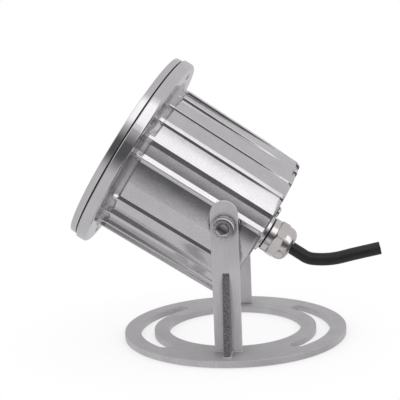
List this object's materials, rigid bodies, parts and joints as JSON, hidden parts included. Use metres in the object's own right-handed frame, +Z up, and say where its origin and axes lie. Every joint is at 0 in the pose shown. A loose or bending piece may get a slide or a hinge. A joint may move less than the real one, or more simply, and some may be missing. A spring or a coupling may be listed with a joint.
{
  "type": "underwater pond light",
  "caption": "Underwater spotlight: a ribbed cast lamp head with a clamped front glass tilts between the two arms of a flat ring bracket; a gland leads the cable out of the rear.",
  "frame": {"origin": "on the floor plane (the underside of the base ring), at the centre of the whole object's bounding box; the ring's centre and the tilt axis are at x = +3.46 mm", "axes": "+Z up from the base ring; the lamp shines towards -X and up; the cable leaves towards +X; Y runs along the tilt axis, left arm at +Y"},
  "size_m": [0.1918, 0.14, 0.1734],
  "materials": {
    "brushed_plate": "satin brushed stainless plate, cut edges rougher and darker",
    "cast_steel": "investment-cast stainless, fine-grained and bright",
    "turned_steel": "turned stainless with fine circular lines",
    "bolt_steel": "bright stainless fastener",
    "nickel_brass": "nickel-plated brass, warm grey",
    "black_rubber": "matte black rubber",
    "cable_rubber": "matte black rubber sheath",
    "black_plastic": "matte",
    "silicone": "translucent white silicone",
    "clear_glass": "clear toughened glass",
    "clear_acrylic": "clear moulded optic",
    "heat_spreader_alu": "milled aluminium",
    "thermal_pad": "grey filled silicone",
    "board_white": "white solder mask",
    "led_phosphor": "yellow phosphor under a clear dome",
    "board_green": "green solder mask",
    "copper_coil": "enamelled copper winding",
    "capacitor_sleeve": "shrink sleeve",
    "terminal_green": "moulded polyamide",
    "wire_red": "PVC insulation",
    "wire_black": "PVC insulation"
  },
  "bodies": {
    "base": {"base_ring": "brushed_plate", "arm_left": "brushed_plate", "arm_right": "brushed_plate", "gusset_left": "brushed_plate", "gusset_right": "brushed_plate"},
    "lamp_head": {"housing": "cast_steel", "bezel_ring": "turned_steel", "flange_gasket": "black_rubber", "lens_glass": "clear_glass", "glass_seal": "silicone", "bezel_screw_1": "bolt_steel", "bezel_screw_2": "bolt_steel", "bezel_screw_3": "bolt_steel", "bezel_screw_4": "bolt_steel", "bezel_screw_5": "bolt_steel", "bezel_screw_6": "bolt_steel", "pivot_screw_left": "bolt_steel", "spring_washer_left": "bolt_steel", "friction_washer_left": "black_plastic", "pivot_screw_right": "bolt_steel", "spring_washer_right": "bolt_steel", "friction_washer_right": "black_plastic", "heat_spreader": "heat_spreader_alu", "thermal_pad": "thermal_pad", "led_board": "board_white", "led_1": "led_phosphor", "led_2": "led_phosphor", "led_3": "led_phosphor", "led_4": "led_phosphor", "led_5": "led_phosphor", "led_6": "led_phosphor", "lens_array": "clear_acrylic", "spreader_screw_1": "bolt_steel", "spreader_screw_2": "bolt_steel", "spreader_screw_3": "bolt_steel", "driver_board": "board_green", "inductor": "copper_coil", "capacitor": "capacitor_sleeve", "terminal_block": "terminal_green", "driver_screw_1": "bolt_steel", "driver_screw_2": "bolt_steel", "driver_screw_3": "bolt_steel", "gland_body": "nickel_brass", "gland_o_ring": "black_rubber", "gland_seal_insert": "black_rubber", "gland_clamp_cage": "black_plastic", "gland_dome_nut": "nickel_brass", "gland_locknut": "nickel_brass", "cable_stub": "cable_rubber", "supply_wire_pos": "wire_red", "supply_wire_neg": "wire_black", "led_lead_pos": "wire_red", "led_lead_neg": "wire_black", "vent_plug": "bolt_steel", "vent_plug_seal": "black_rubber"},
    "cable_tail": {"cable_tail": "cable_rubber"}
  },
  "joints": [
    {"name": "tilt", "type": "hinge", "parent": "base", "child": "lamp_head", "pos_m": [0.00346, 0, 0.0782], "axis": [0, 1, 0], "range_deg": [-33.65, 56.35]},
    {"name": "cable_flex", "type": "hinge", "parent": "lamp_head", "child": "cable_tail", "pos_m": [0.04741, 0, 0.04894], "axis": [0, 1, 0], "range_deg": [-57, 34]}
  ],
  "couplings": [
    {"joint": "cable_flex", "follows": "tilt", "ratio": -1}
  ]
}
